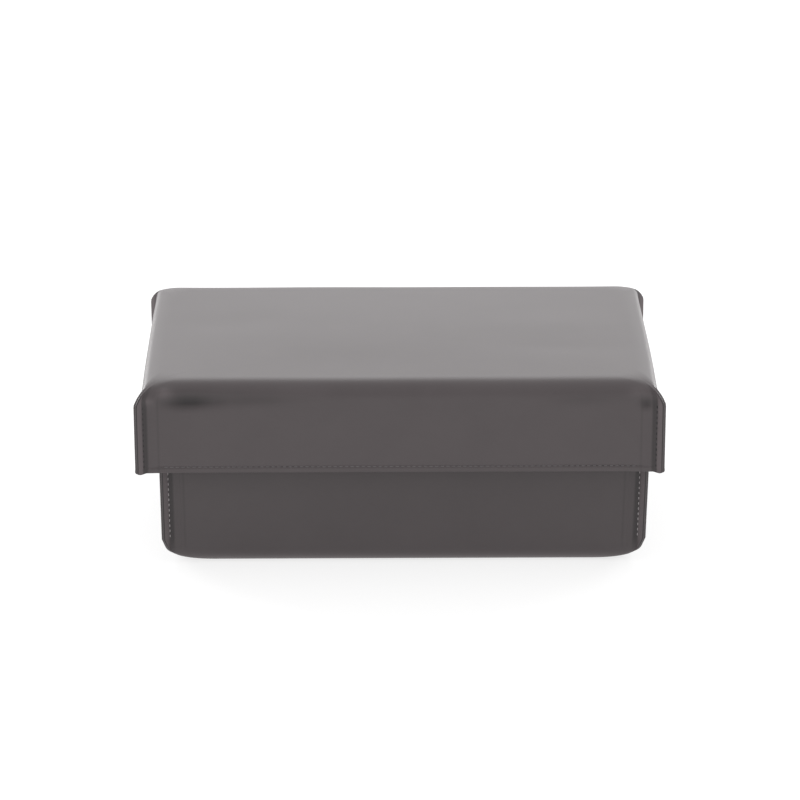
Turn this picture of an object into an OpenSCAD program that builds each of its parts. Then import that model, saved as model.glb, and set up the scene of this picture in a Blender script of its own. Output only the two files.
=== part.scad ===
// A closed box for papers: a deep lift-off lid over a deeper base. Each is a tray formed from one hide,
// whose walls are pinched together at every corner into a stitched fin that stands out along the diagonal.
// The origin is on the floor under the middle of the lid. +X is to the right, +Y to the back, +Z up.

/* [Lid] */
// Width of the lid over the tips of its corner fins
lid_w = 300; // [240:1:380]
// Depth of the lid over the tips of its corner fins
lid_d = 190; // [150:1:260]
// Height of the lid from its hem to its top
lid_h = 53.5; // [42:0.5:70]
// How far the lid's soft shoulder reaches in from the walls
shoulder_in = 15; // [10:0.5:20]
// How far the lid's soft shoulder reaches down the walls
shoulder_down = 13; // [9:0.5:16]
// Corner radius of the lid's flat top, seen from above
top_corner_r = 20; // [12:1:30]
// Height at which the lid's fins start to die into the shoulder, under the top
lid_fin_drop = 13.6; // [10:0.2:16]

/* [Base] */
// Height of the base from the floor to its rim
base_h = 106; // [70:1:140]
// Lean of the base's walls, outward going up, in degrees
base_lean = 0.8; // [0:0.1:1.5]
// How far the base's bottom edge rounds in under the walls
edge_in = 10; // [6:0.5:14]
// How far the base's bottom edge rounds up the walls
edge_up = 11; // [6:0.5:14]
// Corner radius of the base's flat underside, seen from below
foot_corner_r = 24; // [12:1:30]
// Height at which the base's fins start to die into the rounded bottom
base_fin_foot = 16; // [14:0.5:24]

/* [Fit of the lid] */
// Room between the base's fins at its rim and the lining of the lid, on each side
play = 2.9; // [2.5:0.1:5]
// How far the base stands to the right of the lid's middle within that play
slip = 2.3; // [-2.3:0.1:2.3]
// Clearance where the lid's rounded inner corners bed on the heads of the base's fins
bed_gap = 0.5; // [0.2:0.05:0.5]

/* [Layers] */
// Thickness of the outer hide
leather_t = 1.4; // [1.2:0.1:2]
// Thickness of the stiffening boards
board_t = 0.7; // [0.5:0.1:1.2]
// Thickness of the lining
lining_t = 0.4; // [0.3:0.1:0.8]
// Distance from a tray's corner to the ends of its wall boards
board_back = 7; // [4:0.5:12]
// Width of the turned edge along a hem or rim, which the wall boards stay clear of
turned_edge = 5; // [4.5:0.5:8]
// How far the lining stops short of the hem or rim
lining_short = 0.8; // [0.4:0.1:1.5]

/* [Corner fins] */
// How far a fin's tip stands out from the walls beside it
fin_out = 3.4; // [2.8:0.1:6]
// How far the walls flare out towards a fin
flare = 1; // [0:0.1:1.4]
// Length of wall over which that flare grows
flare_run = 30; // [15:1:40]
// Height over which a fin dies into a rounded corner
fin_run = 10; // [8:0.5:12]
// Rounding of a fin's tip at the hem or rim
fin_toe_r = 2; // [1.5:0.1:3]
// Radius of the walls where they turn out into a fin
root_r = 3; // [2.5:0.1:4]

/* [Stitching] */
// Distance from one stitch to the next
stitch_pitch = 3.2; // [2.8:0.1:6]
// Length of one stitch
stitch_l = 2.2; // [1:0.1:2.6]
// Width of the thread
thread_w = 0.6; // [0.3:0.05:0.8]
// How far the thread stands proud of the hide it lies on
thread_h = 0.4; // [0.2:0.05:0.6]
// Distance of the hem's stitches from the edge
hem_line = 3.5; // [3:0.1:4]
// Depth of the crease that the hem's stitches lie in
crease = 0.45; // [0.2:0.05:0.7]
// Distance of a fin's stitches from its root
seam_line = 1; // [0.9:0.1:1.4]

/* [Hidden] */

hide_colour = [0.36, 0.34, 0.345];
lining_colour = [0.42, 0.39, 0.385];
board_colour = [0.6, 0.55, 0.48];
thread_colour = [0.22, 0.2, 0.205];

tip_bevel = 0.5;      // bevel along both edges of a fin's tip
tip_groove = 0.4;     // half width and depth of the line between a fin's two layers
edge_soft = 0.6;      // rounding of a hem or rim
fold_r = 1;           // inner radius of the tight vertical corners inside a tray
fillet = 0.5;         // reach of the fillet at a fin's root
board_ease = 1;       // boards end this far before the hide starts to round
thread_gap = 0.05;    // thread over the faces of the hide
flush_t = leather_t + board_t;
wall_t = flush_t + lining_t;
fin_len = fin_out*sqrt(2) - leather_t + tip_bevel;

// Half sizes of the trays at their wall planes: the lid's all the way up, the base's at its rim
lid_hx = lid_w/2 - fin_out - flare;
lid_hy = lid_d/2 - fin_out - flare;
rim_hx = lid_hx - wall_t - play - fin_out - flare;
rim_hy = lid_hy - wall_t - play - fin_out - flare;

// The lid comes down until its rounded inner shoulder meets the heads of the base's fins
bed_in = play - abs(slip);
inner_in = shoulder_in - wall_t;
inner_down = shoulder_down - wall_t;
bed_rise = inner_down*sin(acos(1 - bed_in/inner_in));
lid_shoulder_z = base_h - fin_toe_r - bed_rise + bed_gap;
lid_top_z = lid_shoulder_z + shoulder_down;
hem_z = lid_top_z - lid_h;
lid_fin_z = lid_top_z - lid_fin_drop;

function clamp01(a) = min(1, max(0, a));
function reversed(list) = [for (i = [len(list) - 1:-1:0]) list[i]];

// Half size of the base's walls at height z, moved in by t square to the wall
function base_hx(z, t=0) = rim_hx - (base_h - z)*tan(base_lean) - t/cos(base_lean);
function base_hy(z, t=0) = rim_hy - (base_h - z)*tan(base_lean) - t/cos(base_lean);

// Corner points are offsets from the crossing of the two wall planes, outward along both walls.
// A rounded corner of radius r is met by a fin as thick as two hides: this is the arc, in degrees,
// from the end of the wall to the fin, and the fin's own root measured along the diagonal.
function root_turn(r) = 45 - asin(leather_t/r);
function root_point(r) = r*[sin(root_turn(r)) - 1, cos(root_turn(r)) - 1];
function root_along(r) = (root_point(r)[0] + root_point(r)[1])/sqrt(2);
function fin_point(along, across) = [along - across, along + across]/sqrt(2);

// The point of a rounded corner's outline that lies l back from the fin's root
function back_from_root(r, l) =
    let (arc = r*root_turn(r)*PI/180, a = root_turn(r) - l/r*180/PI)
    l < arc ? r*[sin(a) - 1, cos(a) - 1] : [-r - (l - arc), 0];

function curve3(a, b, c, t) = a*(1 - t)^2 + b*2*t*(1 - t) + c*t^2;

// The walls flare out along the diagonal as they near the corner
function flared(p, f) = p + f*(clamp01(1 + p[0]/flare_run)*clamp01(1 + p[1]/flare_run))^2*[1, 1];

// Half of a corner, from the wall to the middle of the fin's tip. r is the rounding of the corner,
// out how far the fin stands out of it, f the flare, groove the depth of the crease along the wall.
function half_corner(r, out, f, groove) =
    let (arc = r*root_turn(r)*PI/180,
         far = arc + flare_run - r,
         tip = root_along(r) + out,
         soft = min(1, out/2.5),
         root = root_point(r))
    concat(
        [for (k = [1, 0.62, 0.34, 0.14, 0])
            let (l = fillet + (far - fillet)*k)
            flared(back_from_root(r, l), f) - [0, groove*clamp01(l/8)]],
        [for (k = [1, 2, 3])
            flared(curve3(back_from_root(r, fillet), root,
                          fin_point(root_along(r) + fillet*soft, leather_t), k/3), f)],
        [for (p = [[tip - tip_bevel*soft, leather_t], [tip, leather_t - tip_bevel], [tip, tip_groove]])
            flared(fin_point(p[0], p[1]), f)]);

function whole_corner(r, out, f, groove) =
    let (half = half_corner(r, out, f, groove), soft = min(1, out/2.5))
    concat(half,
           [flared(fin_point(root_along(r) + out - tip_groove*soft, 0), f)],
           [for (p = reversed(half)) [p[1], p[0]]]);

// One level of a tray's outer face: four corners round a rectangle of half size hx by hy
function ring(hx, hy, z, corner) = concat(
    [for (p = corner) [hx + p[0], hy + p[1], z]],
    [for (p = reversed(corner)) [hx + p[0], -hy - p[1], z]],
    [for (p = corner) [-hx - p[0], -hy - p[1], z]],
    [for (p = reversed(corner)) [-hx - p[0], hy + p[1], z]]);

// An inside corner of radius r, with the points where the wall boards end on both sides of it.
// t is how far the inside face lies from the outer one.
function inner_corner(r, t) =
    let (b = max(board_back - t, r + 0.5))
    concat([[-b, 0]], [for (a = [90:-15:0]) r*[cos(a) - 1, sin(a) - 1]], [[0, -b]]);

// Faces between two rings of n points that start at a and b, seen from outside a stack that goes up
function band(a, b, n) = [for (i = [0:n - 1]) let (j = (i + 1) % n)
    each [[a + i, a + j, b + j], [a + i, b + j, b + i]]];
function turned(faces, turn) = turn ? [for (f = faces) reversed(f)] : faces;

// Flat faces between an outer ring at a and an inner one at b that have m and n points a corner
function edge_band(a, m, b, n) = [for (i = [0:4*m - 1])
    let (j = (i + 1) % (4*m),
         in_i = b + floor(i/m)*n + round((i % m)*(n - 1)/(m - 1)),
         in_j = b + floor(j/m)*n + round((j % m)*(n - 1)/(m - 1)))
    each concat([[a + j, a + i, in_i]], in_i == in_j ? [] : [[in_j, a + j, in_i]])];

// The band of an inside face that holds the wall boards: between corners it steps back into pockets,
// whose points follow at c, four to a wall
function pocket_band(a, b, c, n) = concat(
    [for (i = [0:n - 1]) if ((i + 1) % (n/4) != 0) each [[a + i, b + i + 1, a + i + 1], [a + i, b + i, b + i + 1]]],
    [for (w = [0:3])
        let (i = (w + 1)*n/4 - 1, j = (i + 1) % n, at = c + 4*w,
             low = [a + i, at, at + 1, a + j], high = [b + i, at + 2, at + 3, b + j])
        each concat([for (k = [0:2]) [low[k + 1], low[k], high[k], high[k + 1]]], [low, reversed(high)])]);

// Pocket points along one level: the board ends of each wall, moved out by t
function pocket_points(one, t) =
    let (n = len(one), out = [[1, 0], [0, -1], [-1, 0], [0, 1]])
    [for (w = [0:3]) let (i = (w + 1)*n/4 - 1, d = [out[w][0], out[w][1], 0]*t)
        [one[i] + d, one[(i + 1) % n] + d]];

// A tray's hide or lining: an outer and an inner stack of rings, both from the open edge to the closed end.
// With pocket_t the second band of the inner stack has pockets that deep for the wall boards.
module shell(outer, inner, opens_down, pocket_t=0) {
    m = len(outer[0]);
    n = len(inner[0]);
    base = len(outer)*m;
    pockets = base + len(inner)*n;
    middle = pockets + (pocket_t > 0 ? 16 : 0);   // the two points that close the flat ends
    low = pocket_points(inner[1], pocket_t);
    high = pocket_points(inner[2], pocket_t);
    faces = concat(
        [for (k = [0:len(outer) - 2]) each band(k*m, (k + 1)*m, m)],
        [for (i = [0:m - 1]) [base - m + i, base - m + (i + 1) % m, middle]],
        edge_band(0, m/4, base, n/4),
        [for (k = [0:len(inner) - 2])
            each k == 1 && pocket_t > 0 ? pocket_band(base + k*n, base + (k + 1)*n, pockets, n)
                : turned(band(base + k*n, base + (k + 1)*n, n), true)],
        [for (i = [0:n - 1]) [pockets - n + (i + 1) % n, pockets - n + i, middle + 1]]);
    polyhedron(
        points = concat([for (one = outer) each one], [for (one = inner) each one],
                        pocket_t > 0 ? [for (w = [0:3]) each concat(low[w], high[w])] : [],
                        [for (stack = [outer, inner]) [0, 0, stack[len(stack) - 1][0][2]]]),
        faces = turned(faces, !opens_down), convexity = 8);
}

// The board that fills the pocket of wall w: 0 right, 1 front, 2 left, 3 back
module wall_board(inner, w) {
    n = len(inner[0]);
    i = (w + 1)*n/4 - 1;
    ends = [for (k = [1, 2]) let (out = pocket_points(inner[k], board_t)[w])
        [inner[k][i], out[0], out[1], inner[k][(i + 1) % n]]];
    faces = concat([[3, 2, 1, 0], [4, 5, 6, 7]],
                   [for (k = [0:3]) let (j = (k + 1) % 4) [k, j, j + 4, k + 4]]);
    polyhedron(points = concat(ends[0], ends[1]), faces = turned(faces, ends[1][0][2] < ends[0][0][2]));
}

// A flat board with the outline of the last ring of an inner stack
module flat_board(inner, z) {
    outline = [for (p = inner[len(inner) - 1]) [p[0], p[1]]];
    translate([0, 0, z]) linear_extrude(board_t) polygon(outline);
}

// How far a fin is cut back at a height above its free end, and how far it stands at a height past its straight part
function toe_cut(h) = h < fin_toe_r ? fin_toe_r - sqrt(fin_toe_r^2 - (fin_toe_r - h)^2) : 0;
function fin_left(past) = max(0.1, (fin_len - root_along(root_r))*(1 - clamp01(past/fin_run)));
function corner_growth(turn, from_r, to_r) = from_r + (to_r - from_r)*(1 - cos(turn));

// Height above the free edge and depth of the crease, along a hem or rim
crease_rows = [
    [hem_line - 1.3*thread_w, 0], [hem_line - 0.6*thread_w, crease],
    [hem_line + 0.6*thread_w, crease], [hem_line + 1.3*thread_w, 0]
];
// Height above the free edge and inset of its soft rounding
edge_rows = [[0, edge_soft], [0.25*edge_soft, 0.35*edge_soft], [edge_soft, 0]];
// Turns of a shoulder or bottom edge, from the wall to the flat
shoulder_turns = [0, 8, 16, 26, 37, 49, 62, 76, 90];
inner_turns = [0, 11, 22, 33, 45, 56, 67, 78, 90];

function lid_ring(inset, z, turn, groove) = ring(
    lid_hx - inset, lid_hy - inset, z,
    whole_corner(corner_growth(turn, root_r, top_corner_r),
                 fin_left(z - lid_fin_z) - toe_cut(z - hem_z), flare*cos(turn), groove));

function lid_outer_rings() = concat(
    [for (e = edge_rows) lid_ring(e[1], hem_z + e[0], 0, 0)],
    [for (c = crease_rows) lid_ring(0, hem_z + c[0], 0, c[1])],
    [for (a = shoulder_turns)
        lid_ring(shoulder_in*(1 - cos(a)), lid_shoulder_z + shoulder_down*sin(a), a, 0)]);

// Inside faces of the lid, moved in by t from the outer ones, from height z up
function lid_inner_ring(t, z, turn, ease=0) =
    let (inset = t + (shoulder_in - t)*(1 - cos(turn)) + ease)
    ring(lid_hx - inset, lid_hy - inset, z,
         inner_corner(corner_growth(turn, fold_r, top_corner_r), t));

function lid_inner_rings(t, z) = concat(
    [for (h = [z, hem_z + turned_edge, lid_shoulder_z - board_ease]) lid_inner_ring(t, h, 0)],
    [for (a = inner_turns) lid_inner_ring(t, lid_shoulder_z + (shoulder_down - t)*sin(a), a)]);

// The inside of the hide, with the pocket of the top board
function lid_hide_rings() = concat(
    lid_inner_rings(flush_t, hem_z),
    [for (h = [lid_top_z - flush_t, lid_top_z - leather_t]) lid_inner_ring(flush_t, h, 90, board_ease)]);

function base_ring(inset, z, turn, groove) = ring(
    base_hx(z) - inset, base_hy(z) - inset, z,
    whole_corner(corner_growth(turn, root_r, foot_corner_r),
                 fin_left(base_fin_foot - z) - toe_cut(base_h - z), flare*cos(turn), groove));

function base_outer_rings() = concat(
    [for (e = edge_rows) base_ring(e[1], base_h - e[0], 0, 0)],
    [for (c = crease_rows) base_ring(0, base_h - c[0], 0, c[1])],
    [base_ring(0, base_fin_foot, 0, 0)],
    [for (a = shoulder_turns) base_ring(edge_in*(1 - cos(a)), edge_up*(1 - sin(a)), a, 0)]);

// Inside faces of the base, moved in by t from the outer ones, from height z down
function base_inner_ring(t, z, turn, ease=0, at=-1) =
    let (h = at < 0 ? z : at, inset = (edge_in - t)*(1 - cos(turn)) + ease)
    ring(base_hx(h, t) - inset, base_hy(h, t) - inset, z,
         inner_corner(corner_growth(turn, fold_r, foot_corner_r), t));

function base_inner_rings(t, z) = concat(
    [for (h = [z, base_h - turned_edge, edge_up + board_ease]) base_inner_ring(t, h, 0)],
    [for (a = inner_turns) base_inner_ring(t, t + (edge_up - t)*(1 - sin(a)), a)]);

// The inside of the hide, with the pocket of the bottom board
function base_hide_rings() = concat(
    base_inner_rings(flush_t, base_h),
    [for (h = [flush_t, leather_t]) base_inner_ring(flush_t, h, 90, board_ease, flush_t)]);

// One stitch: a bar along X with bevelled sides, lying on a face that looks along +Y
module stitch() {
    rotate([90, 0, 90]) linear_extrude(stitch_l, center=true)
        polygon([[0, -thread_w/2], [thread_h, -thread_w/4], [thread_h, thread_w/4], [0, thread_w/2]]);
}

// Stitches along one wall: the wall's own points say where its face lies
module wall_row(half_l, hx, hy, z, f, low=0) {
    table = [for (p = half_corner(root_r, fin_len, f, crease)) [hx + p[0], hy + p[1]]];
    line = concat([[0, table[0][1]]], [for (i = [0:4]) table[i]]);
    last = floor((half_l - stitch_l/2)/stitch_pitch - 0.5);
    for (side = [-1, 1], i = [0:last]) {
        x = (i + 0.5)*stitch_pitch;
        lean = lookup(x + 0.1, line) - lookup(x - 0.1, line);
        translate([side*x, lookup(x, line) + thread_gap, z])
            rotate([low, 0, side*atan(lean/0.2)]) stitch();
    }
}

module wall_rows(hx, hy, z, f, low=0) {
    stop = root_r + 5;
    for (side = [0, 1]) {
        mirror([0, side, 0]) wall_row(hx - stop, hx, hy, z, f, low);
        mirror([side, 0, 0]) rotate([0, 0, -90]) wall_row(hy - stop, hy, hx, z, f, low);
    }
}

// One stitch on each side of a fin at height z, lying on the flat of the fin
module fin_pair(hx, hy, z) {
    half = half_corner(root_r, fin_len - root_along(root_r), flare, 0);
    along = half[8] - half[7];
    dir = along/norm(along);
    out = [-dir[1], dir[0]];
    at = half[7] + dir*(seam_line - fillet) + out*thread_gap;
    for (swap = [0, 1])
        translate([hx, hy, z]) mirror([swap, -swap, 0]) translate(at)
            rotate([0, 0, atan2(out[1], out[0]) - 90]) rotate([0, 90, 0]) stitch();
}

module corner_seam(side_x, side_y, lid) {
    low = lid ? hem_z + fin_toe_r : base_fin_foot;
    high = lid ? lid_fin_z : base_h - fin_toe_r;
    count = floor((high - low - stitch_l)/stitch_pitch);
    start = (low + high - count*stitch_pitch)/2;
    mirror([side_x < 0 ? 1 : 0, 0, 0]) mirror([0, side_y < 0 ? 1 : 0, 0])
        for (i = [0:count]) {
            z = start + i*stitch_pitch;
            fin_pair(lid ? lid_hx : base_hx(z), lid ? lid_hy : base_hy(z), z);
        }
}

module in_base_place() {
    translate([slip, 0, 0]) children();
}

module lid_leather() {
    color(hide_colour) shell(lid_outer_rings(), lid_hide_rings(), true, board_t);
}

module lid_lining() {
    color(lining_colour) shell(
        lid_inner_rings(flush_t, hem_z + lining_short),
        lid_inner_rings(wall_t, hem_z + lining_short), true);
}

module lid_top_board() { color(board_colour) flat_board(lid_hide_rings(), lid_top_z - flush_t); }
module lid_front_board() { color(board_colour) wall_board(lid_hide_rings(), 1); }
module lid_back_board() { color(board_colour) wall_board(lid_hide_rings(), 3); }
module lid_left_board() { color(board_colour) wall_board(lid_hide_rings(), 2); }
module lid_right_board() { color(board_colour) wall_board(lid_hide_rings(), 0); }
module lid_hem_stitching() { color(thread_colour) wall_rows(lid_hx, lid_hy, hem_z + hem_line, flare); }
module lid_front_left_seam() { color(thread_colour) corner_seam(-1, -1, true); }
module lid_front_right_seam() { color(thread_colour) corner_seam(1, -1, true); }
module lid_back_left_seam() { color(thread_colour) corner_seam(-1, 1, true); }
module lid_back_right_seam() { color(thread_colour) corner_seam(1, 1, true); }

module base_leather() {
    color(hide_colour) in_base_place() shell(base_outer_rings(), base_hide_rings(), false, board_t/cos(base_lean));
}

module base_lining() {
    color(lining_colour) in_base_place() shell(
        base_inner_rings(flush_t, base_h - lining_short),
        base_inner_rings(wall_t, base_h - lining_short), false);
}

module base_bottom_board() { color(board_colour) in_base_place() flat_board(base_hide_rings(), leather_t); }
module base_front_board() { color(board_colour) in_base_place() wall_board(base_hide_rings(), 1); }
module base_back_board() { color(board_colour) in_base_place() wall_board(base_hide_rings(), 3); }
module base_left_board() { color(board_colour) in_base_place() wall_board(base_hide_rings(), 2); }
module base_right_board() { color(board_colour) in_base_place() wall_board(base_hide_rings(), 0); }
module base_rim_stitching() {
    z = base_h - hem_line;
    color(thread_colour) in_base_place() wall_rows(base_hx(z), base_hy(z), z, flare, low=-base_lean);
}
module base_front_left_seam() { color(thread_colour) in_base_place() corner_seam(-1, -1, false); }
module base_front_right_seam() { color(thread_colour) in_base_place() corner_seam(1, -1, false); }
module base_back_left_seam() { color(thread_colour) in_base_place() corner_seam(-1, 1, false); }
module base_back_right_seam() { color(thread_colour) in_base_place() corner_seam(1, 1, false); }

lid_leather();
lid_lining();
lid_top_board();
lid_front_board();
lid_back_board();
lid_left_board();
lid_right_board();
lid_hem_stitching();
lid_front_left_seam();
lid_front_right_seam();
lid_back_left_seam();
lid_back_right_seam();
base_leather();
base_lining();
base_bottom_board();
base_front_board();
base_back_board();
base_left_board();
base_right_board();
base_rim_stitching();
base_front_left_seam();
base_front_right_seam();
base_back_left_seam();
base_back_right_seam();
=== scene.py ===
import math
import bpy
import numpy as np
from mathutils import Matrix, Vector


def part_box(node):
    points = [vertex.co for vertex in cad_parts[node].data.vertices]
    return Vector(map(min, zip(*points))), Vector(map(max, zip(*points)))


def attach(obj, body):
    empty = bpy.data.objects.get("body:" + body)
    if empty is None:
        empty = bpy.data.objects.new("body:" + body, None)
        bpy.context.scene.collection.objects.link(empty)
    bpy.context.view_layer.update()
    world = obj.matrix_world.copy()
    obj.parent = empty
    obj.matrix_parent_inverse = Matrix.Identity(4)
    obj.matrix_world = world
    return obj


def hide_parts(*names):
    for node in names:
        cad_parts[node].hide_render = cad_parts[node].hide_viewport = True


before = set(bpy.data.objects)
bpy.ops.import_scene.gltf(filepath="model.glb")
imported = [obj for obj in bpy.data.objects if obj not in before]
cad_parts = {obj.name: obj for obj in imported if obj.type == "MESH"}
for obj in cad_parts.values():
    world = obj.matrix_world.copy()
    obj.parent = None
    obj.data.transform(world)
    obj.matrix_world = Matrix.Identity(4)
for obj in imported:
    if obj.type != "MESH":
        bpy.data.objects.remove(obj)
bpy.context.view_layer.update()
mm = 0.001

# Measures that both hides share, in mm
hide = {
    "leather": 1.4,               # thickness of the hide
    "flush": 2.1,                 # hide and board together
    "wall": 2.5,                  # hide, board and lining together
    "play": 0.02,                 # gap between the lining and what it lies on
    "innerLift": 0.05,            # how far inside the free edge a hide's inner face starts
    "finOut": 3.4,                # how far a fin stands out from the walls beside it
    "finLonger": 0.5,             # what the fin gains along the diagonal
    "flare": 1.0,                 # how far the walls flare out towards a fin
    "flareRun": 30.0,             # length of wall over which they do
    "rootR": 3.0,                 # rounding of the walls where they turn into a fin
    "finRun": 10.0,               # height over which a fin dies into a rounded corner
    "finSoft": 2.5,               # a fin that stands out less than this has softer details
    "finLeast": 0.03,             # what is left of a fin where it has died out
    "stepLeast": 0.01,            # least length of its straight side
    "toeR": 2.0,                  # rounding of a fin's tip at the hem or rim
    "bevel": 0.55,                # rounding of the edges along a fin's tip
    "tipAcross": (0.62, 0.36),    # two lines on the tip's face, from its middle
    "groove": 0.4,                # depth of the line between a fin's two layers
    "fillet": 0.9,                # reach of the fillet at a fin's root
    "seamLine": 1.0,              # distance of a fin's stitches from its root
    "seamDent": 0.4,              # how deep those stitches pull the fin in
    "seamDentWidth": 0.4,         # reach of that dent
    "hemLine": 3.5,               # distance of the hem's stitches from the edge
    "crease": 0.5,                # depth of the crease they lie in
    "creaseWidth": 0.55,          # reach of that crease
    "creaseFade": 8.0,            # length of wall over which it fades towards a fin
    "creasePower": 0.7,           # less than 1 keeps it deep for longer
    "bandTop": 6.5,               # height of the part of a wall with the finest rows
    "edgeSoft": 0.6,              # rounding of a hem or rim
    "foldR": 1.0,                 # inner radius of the vertical corners
    "liningShort": 0.8,           # how far the lining stops short of a hem or rim
    "boardBack": 7.0,             # distance of the wall boards' ends from a corner
    "boardLine": 0.3,             # depth of the faint line where they end
    "boardLineWidth": 0.55,       # reach of that line
}

# Numbers of rows and points; more of them make a finer mesh
fineness = {
    "wall": 15, "wallPower": 0.6,          # points along a wall beside a corner, closer near the corner
    "boardLine": (0.16, 0.28, 9),          # more points where the wall boards end: from, to, how many
    "fillet": 6, "fin": 8, "bevel": 5,     # points on a fin's fillet, side and edge
    "runs": (14, 22),                      # points of the straight runs on the short and the long walls
    "freeEdge": 4,                         # rows round a hem or rim
    "band": 22, "aboveBand": 15,           # rows of a wall by its stitches, and beyond them
    "shoulder": 34, "bottomEdge": 24,      # rows of the lid's shoulder and of the base's bottom edge
    "lidTop": 15, "underside": 9,          # rows of the flat ends
    "lidInside": 8, "baseInside": 10,      # rows of the inner walls
    "insideEdge": 13,                      # rows of the inner rounded edges
    "insideEnd": (0.9, 0.6, 0.3, 0.04),    # rows of the inner flat ends, as shares of the way out
}


# A node's box, in mm: its low and its high corner
def nodeBox(node):
    low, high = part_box(node)
    return np.array(low)/mm, np.array(high)/mm


# Steps per half corner: along the wall (1 far, 0 at the root), the fillet, the fin's side and its
# rounded edge
wallSteps = np.unique(np.round(np.concatenate([
    1 - np.linspace(0, 1, fineness["wall"])**fineness["wallPower"],
    np.linspace(*fineness["boardLine"]), [0.0, 1.0]]), 4))[::-1]
filletSteps = np.linspace(0, 1, fineness["fillet"] + 1)[1:]
finSteps = np.linspace(0, 1, fineness["fin"] + 1)[1:]
bevelSteps = np.radians(np.linspace(0, 90, fineness["bevel"] + 1)[1:])
foldSteps = len(filletSteps) + len(finSteps) + len(bevelSteps) + len(hide["tipAcross"])


# Quarter of a circle from 0 to 90 degrees in so many steps, without its start
def quarter(steps):
    return np.radians(np.linspace(0, 90, steps + 1)[1:])


# The turn at which a rounded corner of radius r meets a fin two hides thick: 45 degrees less
# asin(leather / r)
def rootTurn(r):
    return math.pi/4 - np.arcsin(hide["leather"]/r)


# The root's distance along the diagonal from where the wall planes cross: the sum of its x and y over
# root 2
def rootAlong(r):
    turn = rootTurn(r)
    return r*(np.sin(turn) + np.cos(turn) - 2)/math.sqrt(2)


# A point so far along the corner's diagonal and across it: x = (along - across)/root 2 and
# y = (along + across)/root 2
def finPoint(along, across):
    return np.stack([along - across, along + across], -1)/math.sqrt(2)


# The outline's point that lies so far back from the root: on the arc r(sin a - 1), r(cos a - 1), and
# past the arc on the wall
def backFromRoot(r, distance):
    turn = rootTurn(r)
    arc = r*turn
    a = turn - distance/r
    onArc = distance < arc
    x = np.where(onArc, r*(np.sin(a) - 1), -r - (distance - arc))
    y = np.where(onArc, r*(np.cos(a) - 1), 0)
    return np.stack([x, y], -1)


# Moves points outward in x and in y by flare times the square of their nearness to the corner, which is
# (1 + x/flareRun)(1 + y/flareRun)
def flared(p, flare):
    near = np.clip(1 + p[..., 0]/hide["flareRun"], 0, 1)*np.clip(1 + p[..., 1]/hide["flareRun"], 0, 1)
    return p + (flare[:, None]*near**2)[..., None]


# 1 where a fin stands out by finSoft or more, and in proportion to its length where it is shorter
def finSoftness(out):
    return np.clip(out/hide["finSoft"], 0, 1)


# Half a corner for every row at once, wall to tip: a wall, an arc of radius r, a quadratic fillet and a
# fin whose side runs parallel to the diagonal and ends in a quarter ellipse. The side dips at its
# stitches by dent exp(-(distance/width)^2). The wall dips by the crease, and by boardLine
# exp(-(distance from the line/width)^2). Returns rows x points x 2.
def halfCorner(r, out, flare, crease, boardLine):
    r, out, crease, boardLine = r[:, None], out[:, None], crease[:, None], boardLine[:, None]
    soft = finSoftness(out)
    turn = rootTurn(r)
    far = r*turn + hide["flareRun"] - r
    back = hide["fillet"] + (far - hide["fillet"])*wallSteps[None, :]
    wall = backFromRoot(r, back)
    wall[..., 1] -= crease*np.clip(back/hide["creaseFade"], 0, 1)**hide["creasePower"]
    wall[..., 1] -= boardLine*np.exp(-((wall[..., 0] + hide["boardBack"])/hide["boardLineWidth"])**2)
    root = np.stack([r*(np.sin(turn) - 1), r*(np.cos(turn) - 1)], -1)
    start = rootAlong(r) + hide["fillet"]*soft
    tip = rootAlong(r) + out
    a = backFromRoot(r, np.full_like(r, hide["fillet"]))
    c = finPoint(start, np.full_like(start, hide["leather"]))
    t = filletSteps[None, :, None]
    fillet = a*(1 - t)**2 + root*2*t*(1 - t) + c*t**2
    bevel = hide["bevel"]*soft
    along = start + (np.maximum(tip - bevel, start + hide["stepLeast"]) - start)*finSteps[None, :]
    fromSeam = along - rootAlong(r) - hide["seamLine"]
    dent = hide["seamDent"]*soft**2*np.exp(-(fromSeam/hide["seamDentWidth"])**2)
    side = finPoint(along, hide["leather"] - dent)
    endAlong = along[:, -1:]
    edge = finPoint(endAlong + (tip - endAlong)*np.sin(bevelSteps),
                    hide["leather"] - hide["bevel"]*(1 - np.cos(bevelSteps)) + 0*tip)
    face = finPoint(tip + np.zeros(2), np.array([hide["tipAcross"]])*np.ones_like(tip))
    return flared(np.concatenate([wall, fillet, side, edge, face], 1), flare)


# A half corner, the groove's line in the fin's tip, and the half corner mirrored in the diagonal
def wholeCorner(r, out, flare, crease, boardLine):
    half = halfCorner(r, out, flare, crease, boardLine)
    depth = hide["groove"]*finSoftness(out)
    middle = flared(finPoint(rootAlong(r) + out - depth, 0*r)[:, None, :], flare)
    return np.concatenate([half, middle, half[:, ::-1, ::-1]], 1)


# An inside corner with as many points as an outer one: a wall up to the fold, then an arc of radius r whose
# middle point is at 45 degrees, and both mirrored in the diagonal
def insideCorner(r):
    r = r[:, None]
    wall = np.stack([-r - (hide["flareRun"] - r)*wallSteps[None, :], 0*r*wallSteps[None, :]], -1)
    phi = np.linspace(0, math.pi/4, foldSteps + 2)[1:][None, :]
    fold = np.stack([r*(np.sin(phi) - 1), r*(np.cos(phi) - 1)], -1)
    half = np.concatenate([wall, fold[:, :-1]], 1)
    return np.concatenate([half, fold[:, -1:], half[:, ::-1, ::-1]], 1)


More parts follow.
